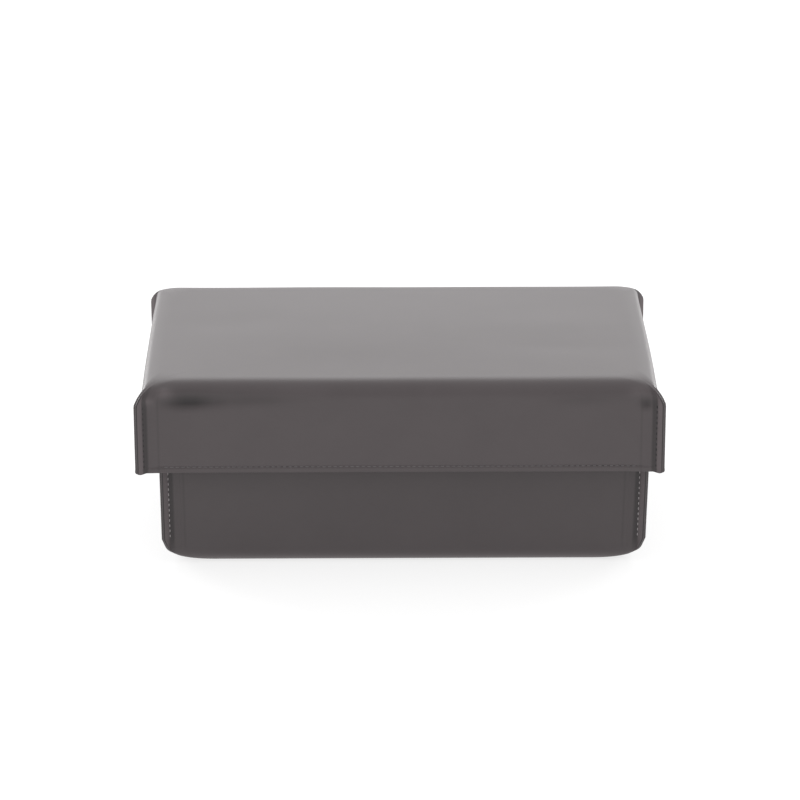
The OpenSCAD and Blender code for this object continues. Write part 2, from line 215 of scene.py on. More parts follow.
# Rings round a rectangle: the corner set at all four corners, clockwise from above, with straight runs
# between. Point k of n between two corners is their mix, k/(n + 1) of the way. Returns rows x points x 3.
def rings(hx, hy, z, corner):
    back = corner[:, ::-1]
    sx = (1, 1, -1, -1)
    sy = (1, -1, -1, 1)
    parts = []
    ends = []
    for k, one in enumerate((corner, back, corner, back)):
        x = sx[k]*(hx[:, None] + one[..., 0])
        y = sy[k]*(hy[:, None] + one[..., 1])
        ends.append(np.stack([x, y, z[:, None] + 0*x], -1))
    for k in range(4):
        mix = np.linspace(0, 1, fineness["runs"][k % 2] + 2)[1:-1][None, :, None]
        parts += [ends[k], ends[k][:, -1:]*(1 - mix) + ends[(k + 1) % 4][:, :1]*mix]
    return np.concatenate(parts, 1)


# A ring drawn in towards the axis in steps, x and y times a factor, for a flat end
def drawnIn(ring, factors):
    return ring[None, :, :]*np.stack([factors, factors, np.ones_like(factors)], -1)[:, None, :]


# A closed skin over a stack of rings: quads between them and a fan to one point at each end. The volume's
# sign, from the sum of each triangle's triple product, says whether the faces are turned round to face
# outward. The shade, one number a point of painted shade and highlight, is kept as an attribute for the
# material.
def skin(name, stack, material, body, nodes, shade=None):
    rows, cols = stack.shape[:2]
    first, last = stack[0].mean(0), stack[-1].mean(0)
    points = np.concatenate([stack.reshape(-1, 3), [first, last]])*mm
    i = np.arange(cols)
    j = (i + 1) % cols
    at = (np.arange(rows - 1)*cols)[:, None]
    quads = np.stack([at + i, at + j, at + cols + j, at + cols + i], -1).reshape(-1, 4)
    end = rows*cols
    low = np.stack([np.full(cols, end), j, i], -1)
    high = np.stack([np.full(cols, end + 1), i + end - cols, j + end - cols], -1)
    tris = np.concatenate([quads[:, [0, 1, 2]], quads[:, [0, 2, 3]], low, high])
    a, b, c = points[tris[:, 0]], points[tris[:, 1]], points[tris[:, 2]]
    volume = (a*np.cross(b, c)).sum()
    turn = slice(None, None, -1 if volume < 0 else 1)
    faces = quads[:, turn].tolist() + low[:, turn].tolist() + high[:, turn].tolist()
    made = piece(name, points, faces, material, body, nodes)
    if shade is not None:
        values = np.concatenate([shade.reshape(-1), [1, 1]]).astype(np.float32)
        made.data.attributes.new("shade", "FLOAT", "POINT").data.foreach_set("value", values)


# One piece from points in metres and faces, smooth, with its body and the nodes it replaces
def piece(name, points, faces, material, body, nodes):
    mesh = bpy.data.meshes.new(name)
    mesh.from_pydata(points.tolist(), [], faces)
    mesh.update()
    mesh.shade_smooth()
    obj = bpy.data.objects.new(name, mesh)
    bpy.context.scene.collection.objects.link(obj)
    mesh.materials.append(material)
    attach(obj, body)
    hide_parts(*nodes)
    return obj


# A plain material of one colour and roughness, and its shader
def newMaterial(name, colour, roughness):
    material = bpy.data.materials.new(name)
    material.use_nodes = True
    shader = material.node_tree.nodes["Principled BSDF"]
    shader.inputs["Base Color"].default_value = (*colour, 1)
    shader.inputs["Roughness"].default_value = roughness
    return material, shader


# Joins an output to an input, both by name or by place
def link(owner, source, output, target, socket):
    owner.node_tree.links.new(source.outputs[output], target.inputs[socket])


# A new shader node; each value goes to the input of that name, or else to the node's setting
def node(owner, kind, **values):
    made = owner.node_tree.nodes.new(kind)
    for key, value in values.items():
        if key in made.inputs:
            made.inputs[key].default_value = value
        else:
            setattr(made, key, value)
    return made


mixA, mixB, mixResult = 6, 7, 2    # a mix node's sockets for colours, by place because their names repeat

leatherLook = {
    "dark": (0.086, 0.072, 0.075), "light": (0.102, 0.086, 0.089),    # colours of the mottle
    "roughness": 0.34,
    "mottle": 38.0, "mottleDetail": 5.0, "mottleRoughness": 0.6,      # its scale and fineness
    "grain": 950.0, "pore": 2300.0, "poreDetail": 3.0,                # scales of the cells and the pores
    "grainDepth": 0.00006, "grainStrength": 0.35,                     # depth in metres
}


# Satin leather: a mottle of two colours times the shade attribute, which paints shade and highlights,
# and a bump that is the sum of rounded cells and fine pores
def leatherMaterial(name, look):
    material, shader = newMaterial(name, look["dark"], look["roughness"])
    place = node(material, "ShaderNodeTexCoord")
    mottle = node(material, "ShaderNodeTexNoise", Scale=look["mottle"], Detail=look["mottleDetail"],
                  Roughness=look["mottleRoughness"])
    mix = node(material, "ShaderNodeMix", data_type="RGBA")
    mix.inputs[mixA].default_value = (*look["dark"], 1)
    mix.inputs[mixB].default_value = (*look["light"], 1)
    cells = node(material, "ShaderNodeTexVoronoi", Scale=look["grain"], feature="SMOOTH_F1")
    pores = node(material, "ShaderNodeTexNoise", Scale=look["pore"], Detail=look["poreDetail"])
    add = node(material, "ShaderNodeMath", operation="ADD")
    bump = node(material, "ShaderNodeBump", Strength=look["grainStrength"], Distance=look["grainDepth"])
    for texture in (mottle, cells, pores):
        link(material, place, "Object", texture, "Vector")
    link(material, mottle, "Fac", mix, "Factor")
    link(material, cells, "Distance", add, 0)
    link(material, pores, "Fac", add, 1)
    link(material, add, "Value", bump, "Height")
    shade = node(material, "ShaderNodeAttribute", attribute_name="shade")
    darken = node(material, "ShaderNodeVectorMath", operation="SCALE")
    link(material, mix, mixResult, darken, 0)
    link(material, shade, "Fac", darken, "Scale")
    link(material, darken, "Vector", shader, "Base Color")
    link(material, bump, "Normal", shader, "Normal")
    return material


fibreLook = {
    "detail": 6.0, "roughness": 0.7, "strength": 0.4,
    "dark": 0.8, "light": 1.2,    # the colour is multiplied by these in hollows and on tops
}

# Colour, scale of the fibres, depth of their bump in metres, and roughness
fibres = {
    "lining": ((0.15, 0.135, 0.13), 2600, 0.0001, 0.9),
    "board": ((0.32, 0.26, 0.2), 1400, 0.00005, 0.8),
    "thread_dark": ((0.012, 0.011, 0.012), 5200, 0.00005, 0.5),
    "thread_hem": ((0.16, 0.145, 0.15), 5200, 0.00005, 0.5),
    "thread_pale": ((0.4, 0.37, 0.375), 5200, 0.00005, 0.5),
}
# The needle holes' near-black colour is painted shade
needleHole = {"colour": (0.006, 0.006, 0.006), "roughness": 0.9}


# Cloth, board or thread: one noise for the fibres varies the colour and makes the bump, depth in metres
def fibreMaterial(name, colour, scale, depth, roughness):
    material, shader = newMaterial(name, colour, roughness)
    place = node(material, "ShaderNodeTexCoord")
    fibre = node(material, "ShaderNodeTexNoise", Scale=scale, Detail=fibreLook["detail"],
                 Roughness=fibreLook["roughness"])
    mix = node(material, "ShaderNodeMix", data_type="RGBA")
    mix.inputs[mixA].default_value = (*[fibreLook["dark"]*c for c in colour], 1)
    mix.inputs[mixB].default_value = (*[fibreLook["light"]*c for c in colour], 1)
    bump = node(material, "ShaderNodeBump", Strength=fibreLook["strength"], Distance=depth)
    link(material, place, "Object", fibre, "Vector")
    link(material, fibre, "Fac", mix, "Factor")
    link(material, fibre, "Fac", bump, "Height")
    link(material, mix, mixResult, shader, "Base Color")
    link(material, bump, "Normal", shader, "Normal")
    return material


leatherOfHides = leatherMaterial("leather", leatherLook)
liningCloth, boardPaper, darkThread, hemThread, paleThread = (
    fibreMaterial(name, *values) for name, values in fibres.items())
holeDark, _ = newMaterial("needle_hole", needleHole["colour"], needleHole["roughness"])
print("materials made")

# A fin's length along the diagonal, from its root to its tip
finLen = (hide["finOut"]*math.sqrt(2) - hide["leather"] + hide["finLonger"]
          - float(rootAlong(np.array(hide["rootR"]))))


# How long a fin is: finLen(1 - past/finRun) past its straight part, less the quarter circle at its toe,
# R - root(R^2 - (R - toe)^2)
def finOut(past, toe):
    full = finLen*(1 - np.clip(past/hide["finRun"], 0, 1))
    radius = hide["toeR"]
    cut = radius - np.sqrt(np.maximum(radius**2 - np.clip(radius - toe, 0, None)**2, 0))
    return np.maximum(full - cut, hide["finLeast"])


# Height above the free edge of each row of a wall, close together where the hem's stitches run
def wallHeights(top):
    return np.concatenate([np.linspace(hide["edgeSoft"], hide["bandTop"], fineness["band"]),
                           np.linspace(hide["bandTop"], top, fineness["aboveBand"] + 1)[1:]])


# Depth of the stitches' crease at height h: crease exp(-((h - line)/width)^2)
def creaseDepth(h):
    return hide["crease"]*np.exp(-((h - hide["hemLine"])/hide["creaseWidth"])**2)


# Swell of the band between the free edge and the stitches: size sin(pi h/line)
def bandSwell(h, size):
    return size*np.sin(np.pi*np.clip(h/hide["hemLine"], 0, 1))


# Goes from start to end as 1 - cos of the turn
def smoothTurn(turn, start, end):
    return start + (end - start)*(1 - np.cos(turn))


# A wall from its free edge to top, as heights and insets: a quarter circle of radius edgeSoft, inset by
# edgeSoft(1 - cos a) at height edgeSoft(1 - sin a), and then straight but for the band's swell outward
def freeWall(top, swell):
    a = np.radians(np.linspace(90, 0, fineness["freeEdge"] + 1)[:-1])
    straight = wallHeights(top)
    h = np.concatenate([hide["edgeSoft"]*(1 - np.sin(a)), straight])
    inset = np.concatenate([hide["edgeSoft"]*(1 - np.cos(a)), 0*straight]) - bandSwell(h, swell)
    return h, inset


# Inner rings at insets from the walls' planes, with a fold that opens to the radius of the flat end, and
# that end, drawn in to a small ring
def insideStack(halfX, halfY, z, inset, turn, cornerR):
    corner = insideCorner(smoothTurn(turn, hide["foldR"], cornerR))
    stack = rings(halfX - inset, halfY - inset, z, corner)
    return np.concatenate([stack, drawnIn(stack[-1], np.array(fineness["insideEnd"]))])


# One stack from an outer and an inner one that meet at the free edge
def roundTheEdge(outer, inner):
    return np.concatenate([outer[::-1], inner])


# The lid's hide and lining
lidLow, lidHigh = nodeBox("lid_leather")
lidForm = {
    "shoulderIn": 15.0, "shoulderDown": 13.0,    # reach of the soft shoulder, inward and down
    "cornerR": 13.0,                             # corner radius of the flat top
    "finDrop": 11.8,                             # where the fins start to die, below the top
    "crown": 0.8,                                # rise of the top's middle
    "fullness": 2.95,                            # 2 is an ellipse, more is a fuller shoulder
    "bow": 1.3, "bowPower": 4,                   # how far the two short sides bow outward, and how evenly
    "bandBulge": 0.12,                           # swell of the band under the hem's stitches
    "topPower": 1.4, "topReach": 0.97,           # how the top's rows spread, and how far in they go
    "waves": 0.06, "waveSeed": 3,                # size of the slow waves in mm, and their seed
}
lidHalf = (lidHigh - lidLow)/2 - hide["finOut"] - hide["flare"]


# The lid's outer face: straight walls, then a shoulder on a superellipse, up by down sin(a)^(2/n) and in by
# reach(1 - cos(a)^(2/n)), then the top, raised by crown(1 - (x/half)^2)(1 - (y/half)^2). x is stretched by
# bow/half (1 - (y/half)^4).
def lidOuter(form):
    shoulderZ = lidHigh[2] - form["shoulderDown"]
    h, inset = freeWall(shoulderZ - lidLow[2], form["bandBulge"])
    turn = np.concatenate([0*h, quarter(fineness["shoulder"])])
    over = turn[len(h):]
    power = 2/form["fullness"]
    z = np.concatenate([lidLow[2] + h, shoulderZ + form["shoulderDown"]*np.sin(over)**power])
    inset = np.concatenate([inset, form["shoulderIn"]*(1 - np.maximum(np.cos(over), 0)**power)])
    height = z - lidLow[2]
    pastFin = z - lidHigh[2] + form["finDrop"]
    corner = wholeCorner(smoothTurn(turn, hide["rootR"], form["cornerR"]), finOut(pastFin, height),
                         hide["flare"]*np.cos(turn), creaseDepth(height), 0*z)
    stack = rings(lidHalf[0] - inset, lidHalf[1] - inset, z, corner)
    inward = np.linspace(0, 1, fineness["lidTop"] + 1)[1:]**form["topPower"]
    stack = np.concatenate([stack, drawnIn(stack[-1], 1 - inward*form["topReach"])])
    topX, topY = lidHalf[0] - form["shoulderIn"], lidHalf[1] - form["shoulderIn"]
    rise = np.clip(1 - (stack[..., 0]/topX)**2, 0, 1)*np.clip(1 - (stack[..., 1]/topY)**2, 0, 1)
    stack[len(z):, :, 2] += form["crown"]*rise[len(z):]
    bowed = np.clip(1 - (stack[..., 1]/lidHalf[1])**form["bowPower"], 0, 1)
    stack[..., 0] *= 1 + form["bow"]/lidHalf[0]*bowed
    return stack


# Inside faces of the lid, t in from the outer ones: straight walls, then an edge, in by (in - t)(1 - cos)
# and up by (down - t) sin
def lidInner(form, t, start):
    shoulderZ = lidHigh[2] - form["shoulderDown"]
    rows = fineness["lidInside"]
    turn = np.concatenate([np.zeros(rows), quarter(fineness["insideEdge"])])
    z = np.concatenate([np.linspace(lidLow[2] + start, shoulderZ, rows),
                        shoulderZ + (form["shoulderDown"] - t)*np.sin(turn[rows:])])
    inset = t + (form["shoulderIn"] - t)*(1 - np.cos(turn))
    return insideStack(lidHalf[0], lidHalf[1], z, inset, turn, form["cornerR"])


# Dents, and swells with a depth below 0, in mm from the middle of the lid's top. Each row has a place, its
# reach along x, y and z, its depth and the direction inward.
lidDents = [
    ((-119.0, -91.0, -9.6), (14.0, 8.0, 4.0), 2.5, (0.0, 0.8, -0.6)),
    ((-132.5, -90.0, -6.0), (4.5, 5.0, 2.8), -1.8, (0.0, 0.6, -0.8)),
    ((-142.0, -91.0, -10.0), (3.5, 4.0, 2.4), -1.4, (0.3, 0.7, -0.6)),
    ((-84.0, -89.0, -9.0), (22.0, 8.0, 4.0), 0.8, (0.0, 0.8, -0.6)),
    ((-62.0, -88.0, -5.0), (30.0, 6.0, 2.5), -0.3, (0.0, 0.7, -0.7)),
    ((139.5, -90.0, -11.5), (3.6, 5.0, 3.0), 1.8, (0.0, 0.8, -0.6)),
    ((135.0, -88.0, -5.5), (6.0, 6.0, 2.4), -0.9, (0.0, 0.6, -0.8)),
    ((104.0, -89.0, -9.5), (18.0, 8.0, 3.5), 0.5, (0.0, 0.8, -0.6)),
    ((40.0, -87.0, -5.0), (34.0, 8.0, 4.0), -0.3, (0.0, 0.7, -0.7)),
    ((-30.0, -55.0, 0.0), (60.0, 26.0, 6.0), 0.35, (0.0, 0.0, -1.0)),
    ((85.0, 10.0, 0.0), (45.0, 18.0, 6.0), -0.22, (0.0, 0.0, -1.0)),
    ((-100.0, 15.0, 0.0), (30.0, 14.0, 6.0), 0.2, (0.0, 0.0, -1.0)),
    ((95.0, -30.0, 0.0), (40.0, 9.0, 6.0), 0.16, (0.0, 0.0, -1.0)),
]
lidTopMiddle = np.array([0, 0, lidHigh[2]])
dentDarkness = 0.28    # painted shade for each mm of a dent's depth, painted highlight for each mm of a swell's


# Nearness to a dent: exp(-(distance/reach)^2), with the distance over the reach taken along each axis
def nearDent(stack, place, reach):
    away = (stack - lidTopMiddle - np.array(place))/np.array(reach)
    return np.exp(-(away**2).sum(-1))


# Painted shade in the shoulder's dents and painted highlight on its swells: 1 less the sum of darkness x
# depth x nearness. Those of the top, whose direction has no y, keep the plain shade.
def dentShade(stack):
    shade = np.ones(stack.shape[:2])
    for place, reach, depth, way in lidDents:
        shade -= dentDarkness*depth*(way[1] > 0)*nearDent(stack, place, reach)
    return shade


# Presses the dents in one after the other: each moves points along its direction by depth x nearness
def pressed(stack):
    for place, reach, depth, way in lidDents:
        stack = stack + depth*nearDent(stack, place, reach)[..., None]*np.array(way)
    return stack


waveForm = {
    "count": 7, "steepest": 0.07,       # number of waves, and the most that a phase turns in 1 mm
    "fadeHeight": 12.0,                 # they fade out over this height above the lowest point
    "middleX": 60.0, "middleY": 40.0,   # across the middle the outward direction turns over these lengths
}


# Slow waves of a hand-formed hide: size times the sum of sin(kx + ly + mz + phase), outward along
# tanh(x/middleX) and tanh(y/middleY)
def handMade(stack, size, seed):
    draw = np.random.default_rng(seed)
    wave = np.zeros(stack.shape[:2])
    for _ in range(waveForm["count"]):
        k = draw.uniform(-waveForm["steepest"], waveForm["steepest"], 3)
        wave += np.sin(stack @ k + draw.uniform(0, 2*np.pi))
    level = np.clip((stack[..., 2] - stack[..., 2].min())/waveForm["fadeHeight"], 0, 1)
    side = np.stack([np.tanh(stack[..., 0]/waveForm["middleX"]),
                     np.tanh(stack[..., 1]/waveForm["middleY"]), 0*wave], -1)
    return stack + size*(wave*level)[..., None]*side


# Painted shade and highlights on the hide, and its darker edges, 1 on plain leather
paintedShadingLook = {
    "boardLine": 0.14, "boardLineWidth": 0.7,          # painted shade where the wall boards end, and its reach in mm
    "root": 0.5,                                       # painted shade in a fin's fillet
    "side": 1.6, "seam": 1.45, "seamWidth": 0.5,       # painted highlight on its side, painted shade at its stitches, its reach in mm
    "edge": 0.4, "tip": (1.5, 1.0), "groove": 0.35,    # darker on its edges, lighter on the tip's face, painted shade in its groove
}


# Painted shade and highlights: one row of shades round the corners and straight runs, with
# side - seam exp(-(distance/width)^2) on each fin's side. Every row of the outer face takes 1 - (1 - shade)
# times what is left of the fin there.
def paintShading(outerRows, innerRows, cols, left):
    look = paintedShadingLook
    walls, fillets, sides, edges = len(wallSteps), len(filletSteps), len(finSteps), len(bevelSteps)
    half = np.ones(walls + foldSteps)
    fromBoard = hide["flareRun"]*wallSteps - hide["boardBack"]
    half[:walls] -= look["boardLine"]*np.exp(-(fromBoard/look["boardLineWidth"])**2)
    half[walls - 1:walls + fillets] = look["root"]
    fromSeam = finSteps*(finLen - hide["fillet"] - hide["bevel"]) + hide["fillet"] - hide["seamLine"]
    finAt = walls + fillets
    half[finAt:finAt + sides] = look["side"] - look["seam"]*np.exp(-(fromSeam/look["seamWidth"])**2)
    half[finAt + sides:finAt + sides + edges] = look["edge"]
    half[finAt + sides + edges:] = look["tip"]
    corner = np.concatenate([half, [look["groove"]], half[::-1]])
    row = np.concatenate([np.concatenate([corner, np.ones(run)]) for run in fineness["runs"]*2])
    rows = 1 - (1 - row)[None, :]*left[:, None]
    return np.concatenate([rows[::-1], np.ones((innerRows, cols))])


# What is left of a fin so far past its straight part: 1 less the distance over finRun
def finLeft(past):
    return np.clip(1 - past/hide["finRun"], 0, 1)


lidPlain = lidOuter(lidForm)
lidFace = handMade(pressed(lidPlain), lidForm["waves"], lidForm["waveSeed"])
lidBack = lidInner(lidForm, hide["flush"], hide["innerLift"])
# Painted shade and highlights round the lid's fins, and on its dents
lidPaintedShading = paintShading(len(lidFace), len(lidBack), lidFace.shape[1],
                     finLeft(lidFace[:, 0, 2] - lidHigh[2] + lidForm["finDrop"]))
lidDentShade = np.concatenate([dentShade(lidPlain)[::-1], np.ones(lidBack.shape[:2])])
skin("lid_hide", roundTheEdge(lidFace, lidBack), leatherOfHides, "lid", ["lid_leather"],
     lidPaintedShading*lidDentShade)
lidCloth = roundTheEdge(lidInner(lidForm, hide["flush"] + hide["play"], hide["liningShort"]),
                        lidInner(lidForm, hide["wall"], hide["liningShort"]))
skin("lid_cloth", lidCloth, liningCloth, "lid", ["lid_lining"])
print("lid made")

# The base's hide and lining
baseLow, baseHigh = nodeBox("base_leather")
baseForm = {
    "lean": 0.8,                                # lean of the walls, outward going up, in degrees
    "edgeIn": 10.0, "edgeUp": 11.0,             # reach of the rounded bottom edge
    "cornerR": 29.0,                            # corner radius of the flat underside
    "finFoot": 16.0,                            # where the fins start to die, above the floor
    "bandBulge": 0.12,                          # swell of the band over the rim's stitches
    "underReach": 0.97,                         # how far in the rows of the underside go
    "underLidShade": 0.85,                               # painted shade: the base's hide is made a little darker than the lid's, as it lies under the lid
    "floorReflection": 0.7, "floorReflectionUp": 4.5,             # painted reflection of the floor: how much paler the bottom edge is made, and how high up
    "waves": 0.05, "waveSeed": 5,               # size of the slow waves in mm, and their seed
}
baseMiddle = (baseLow + baseHigh)/2
rimHalf = (baseHigh - baseLow)/2 - hide["finOut"] - hide["flare"]
leanTan = math.tan(math.radians(baseForm["lean"]))


# Half the base's width along an axis at height z: that of the rim less (height of the rim - z) tan(lean)
def baseHalf(axis, z):
    return rimHalf[axis] - (baseHigh[2] - z)*leanTan


# The base's outer face, from the rim down: leaning walls, then an edge on a quarter ellipse, in by
# in(1 - cos a) and down to up(1 - sin a), then the flat underside
def baseOuter(form):
    h, inset = freeWall(baseHigh[2] - form["edgeUp"], form["bandBulge"])
    turn = np.concatenate([0*h, quarter(fineness["bottomEdge"])])
    under = turn[len(h):]
    z = np.concatenate([baseHigh[2] - h, form["edgeUp"]*(1 - np.sin(under))])
    inset = np.concatenate([inset, form["edgeIn"]*(1 - np.cos(under))])
    height = baseHigh[2] - z
    corner = wholeCorner(smoothTurn(turn, hide["rootR"], form["cornerR"]),
                         finOut(form["finFoot"] - z, height), hide["flare"]*np.cos(turn),
                         creaseDepth(height), hide["boardLine"]*(turn == 0))
    stack = rings(baseHalf(0, z) - inset, baseHalf(1, z) - inset, z, corner)
    inward = np.linspace(0, 1, fineness["underside"] + 1)[1:]
    return np.concatenate([stack, drawnIn(stack[-1], 1 - inward*form["underReach"])])


# Inside faces of the base, t in from the outer ones: leaning walls, then an edge, in by (in - t)(1 - cos)
# and down to t + (up - t)(1 - sin)
def baseInner(form, t, start):
    rows = fineness["baseInside"]
    turn = np.concatenate([np.zeros(rows), quarter(fineness["insideEdge"])])
    z = np.concatenate([np.linspace(baseHigh[2] - start, form["edgeUp"], rows),
                        t + (form["edgeUp"] - t)*(1 - np.sin(turn[rows:]))])
    inset = t + (form["edgeIn"] - t)*(1 - np.cos(turn))
    return insideStack(baseHalf(0, z), baseHalf(1, z), z, inset, turn, form["cornerR"])


baseShift = np.array([baseMiddle[0], baseMiddle[1], 0])
baseFace = handMade(baseOuter(baseForm), baseForm["waves"], baseForm["waveSeed"])
baseBack = baseInner(baseForm, hide["flush"], hide["innerLift"])
baseHide = roundTheEdge(baseFace, baseBack)
# Painted shade and highlights round the base's fins
basePaintedShading = paintShading(len(baseFace), len(baseBack), baseFace.shape[1],
                      finLeft(baseForm["finFoot"] - baseFace[:, 0, 2]))
# Painted reflection of the floor: the base's bottom edge is made paler
baseFloorReflection = 1 + baseForm["floorReflection"]*np.exp(-(baseHide[..., 2]/baseForm["floorReflectionUp"])**2)
# The whole base hide is darkened as painted shade of the lid above it
skin("base_hide", baseHide + baseShift, leatherOfHides, "base", ["base_leather"],
     baseForm["underLidShade"]*baseFloorReflection*basePaintedShading)
baseCloth = roundTheEdge(baseInner(baseForm, hide["flush"] + hide["play"], hide["liningShort"]),
                         baseInner(baseForm, hide["wall"], hide["liningShort"]))
skin("base_cloth", baseCloth + baseShift, liningCloth, "base", ["base_lining"])
print("base made")

# Thread, in mm
threadForm = {
    "pitch": 3.2, "length": 2.35,       # from stitch to stitch, and of one stitch
    "radius": 0.34,                     # half the thread's width
    "taper": 0.25,                      # how much thinner it is at its ends
    "lay": 0.07, "layTurns": 9,         # how its width swells along it, and how often
    "rise": 0.16, "sink": 0.62,         # how far a stitch arches out, and how far its ends go in
    "rows": 9, "sides": 8,              # points along a stitch and round it
    "hole": 0.34, "holeDown": 0.3,      # radius and depth of the dark needle holes
    "holeShort": 0.8,                   # their radius along the row, as a share
    "holeAt": 0.46, "holeOut": 0.02,    # their distance from the middle in stitch lengths, and off the hide
    "cornerGap": 5.0,                   # a hem's last stitch stays this far from the corners' rounding
    "finEnds": 2.2,                     # length of a fin that its row leaves free at both ends together
    "slopeStep": 0.5,                   # length over which the hide's slope is measured
}


# Tubes along bent lines: u runs from -1 to 1 along each stitch, whose middle line stands out by
# rise - sink u^4, with rings round it of radius times (1 - taper u^6)(1 + lay cos(turns u)). Low cones that
# point inward under its ends are the needle holes, coloured near black as painted shade.
def stitches(name, centres, along, out, thread, body):
    form = threadForm
    rows, sides, count = form["rows"], form["sides"], len(centres)
    u = np.linspace(-1, 1, rows)
    turn = np.linspace(0, 2*np.pi, sides, endpoint=False)
    across = np.cross(along, out)
    line = centres[:, None, :] + along[:, None, :]*(u*form["length"]/2)[None, :, None]
    line = line + out[:, None, :]*(form["rise"] - form["sink"]*u**4)[None, :, None]
    upward = out[:, None, :]*np.sin(turn)[None, :, None]
    sideways = across[:, None, :]*np.cos(turn)[None, :, None]
    lengthways = along[:, None, :]*np.sin(turn)[None, :, None]
    thick = form["radius"]*(1 - form["taper"]*u**6)*(1 + form["lay"]*np.cos(form["layTurns"]*u))
    tubes = line[:, :, None, :] + (upward + sideways)[:, None, :, :]*thick[None, :, None, None]
    points = [tubes.reshape(-1, 3)]
    i = np.arange(sides)
    j = (i + 1) % sides
    at = (np.arange(count)*rows*sides)[:, None, None] + (np.arange(rows - 1)*sides)[None, :, None]
    quads = np.stack([at + j, at + i, at + sides + i, at + sides + j], -1)
    faces = quads.reshape(-1, 4).tolist()
    ends = np.arange(count)[:, None]*rows*sides
    faces += (ends + i).tolist() + (ends + (rows - 1)*sides + i[::-1]).tolist()
    threadFaces = len(faces)
    for end in (-1, 1):
        middle = centres + along*(end*form["length"]*form["holeAt"]) + out*form["holeOut"]
        rim = (lengthways*form["holeShort"] + sideways)*form["hole"]
        base = sum(len(p) for p in points)
        points.append((middle[:, None, :] + rim).reshape(-1, 3))
        points.append(middle - out*form["holeDown"])
        at = base + np.arange(count)[:, None]*sides
        foot = base + count*sides + np.arange(count)[:, None] + 0*i
        faces += (at + i).tolist() + np.stack([at + j, at + i, foot], -1).reshape(-1, 3).tolist()
    made = piece(name + "_thread", np.concatenate(points)*mm, faces, thread, body, [name])
    made.data.materials.append(holeDark)
    index = np.zeros(len(faces), dtype=np.int32)
    index[threadFaces:] = 1
    made.data.polygons.foreach_set("material_index", index)


# Each row of v over its own length
def unit(v):
    return v/np.linalg.norm(v, axis=1)[:, None]


# Stitches round a hem: on each wall at odd half pitches from its middle, at the depth of the hide's own
# surface, along its slope and square to it
def hemRow(name, half, z, up, thread, body, shift):
    profile = (hide["rootR"], finLen, hide["flare"], hide["crease"], 0.0)
    wall = halfCorner(*(np.array([v]) for v in profile))[0][:len(wallSteps)]
    step = threadForm["slopeStep"]
    centres, along, out = [], [], []
    for axis in (0, 1):
        reach = half[axis] - hide["rootR"] - threadForm["cornerGap"]
        last = int((reach - threadForm["length"]/2)//threadForm["pitch"] - 0.5)
        x = (np.arange(last + 1) + 0.5)*threadForm["pitch"]
        x = np.concatenate([-x, x])
        fromCorner = np.abs(x) - half[axis]
        depth = np.interp(fromCorner, wall[:, 0], wall[:, 1])
        slope = np.sign(x)*(np.interp(fromCorner + step, wall[:, 0], wall[:, 1]) - depth)/step
        for side in (-1, 1):
            place, run, face = np.zeros((3, len(x), 3))
            place[:, axis] = x
            place[:, 1 - axis] = side*(half[1 - axis] + depth)
            place[:, 2] = z
            run[:, axis] = 1
            run[:, 1 - axis] = side*slope
            face[:, 1 - axis] = side
            face[:, axis] = -slope
            face[:, 2] = up
            centres.append(place + shift)
            along.append(run)
            out.append(face)
    centres, along, out = (np.concatenate(v) for v in (centres, along, out))
    along = unit(along)
    out = unit(out - along*(out*along).sum(1)[:, None])
    stitches(name, centres, along, out, thread, body)


# Stitches up a corner: pairs on both sides of a fin, evenly spaced, the same number as in the CAD part
def finRow(name, sx, sy, low, high, halfAt, lean, thread, body, shift):
    pitch = threadForm["pitch"]
    count = int((high - low - threadForm["finEnds"])//pitch)
    z = (low + high - count*pitch)/2 + np.arange(count + 1)*pitch
    root = float(rootAlong(np.array(hide["rootR"])))
    at = finPoint(np.array([root + hide["seamLine"]]), np.array([hide["leather"] - hide["seamDent"]]))
    at = flared(at[None], np.array([hide["flare"]]))[0, 0]
    centres, out = [], []
    for x, y, nx, ny in ((*at, -1, 1), (*at[::-1], 1, -1)):
        centres.append(np.stack([sx*(halfAt(0, z) + x), sy*(halfAt(1, z) + y), z], -1) + shift)
        out.append(np.tile([sx*nx/math.sqrt(2), sy*ny/math.sqrt(2), 0], (len(z), 1)))
    centres, out = np.concatenate(centres), np.concatenate(out)
    along = unit(np.tile([sx*lean, sy*lean, 1.0], (len(centres), 1)))
    stitches(name, centres, along, out, thread, body)


noShift = np.zeros(3)
hemRow("lid_hem_stitching", lidHalf, lidLow[2] + hide["hemLine"], 0, hemThread, "lid", noShift)
rimZ = baseHigh[2] - hide["hemLine"]
hemRow("base_rim_stitching", [baseHalf(0, rimZ), baseHalf(1, rimZ)], rimZ, -leanTan, paleThread,
       "base", baseShift)
for sy, depthName in ((-1, "front"), (1, "back")):
    for sx, sideName in ((-1, "left"), (1, "right")):
        corner = f"{depthName}_{sideName}_seam"
        finRow("lid_" + corner, sx, sy, lidLow[2] + hide["toeR"], lidHigh[2] - lidForm["finDrop"],
               lambda axis, z: lidHalf[axis] + 0*z, 0, darkThread, "lid", noShift)
        finRow("base_" + corner, sx, sy, baseForm["finFoot"], baseHigh[2] - hide["toeR"],
               baseHalf, leanTan, paleThread, "base", baseShift)
print("thread made")

# The boards are the CAD part's own
for name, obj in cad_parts.items():
    if name.endswith("_board"):
        obj.data.materials.clear()
        obj.data.materials.append(boardPaper)
print("boards given their material")

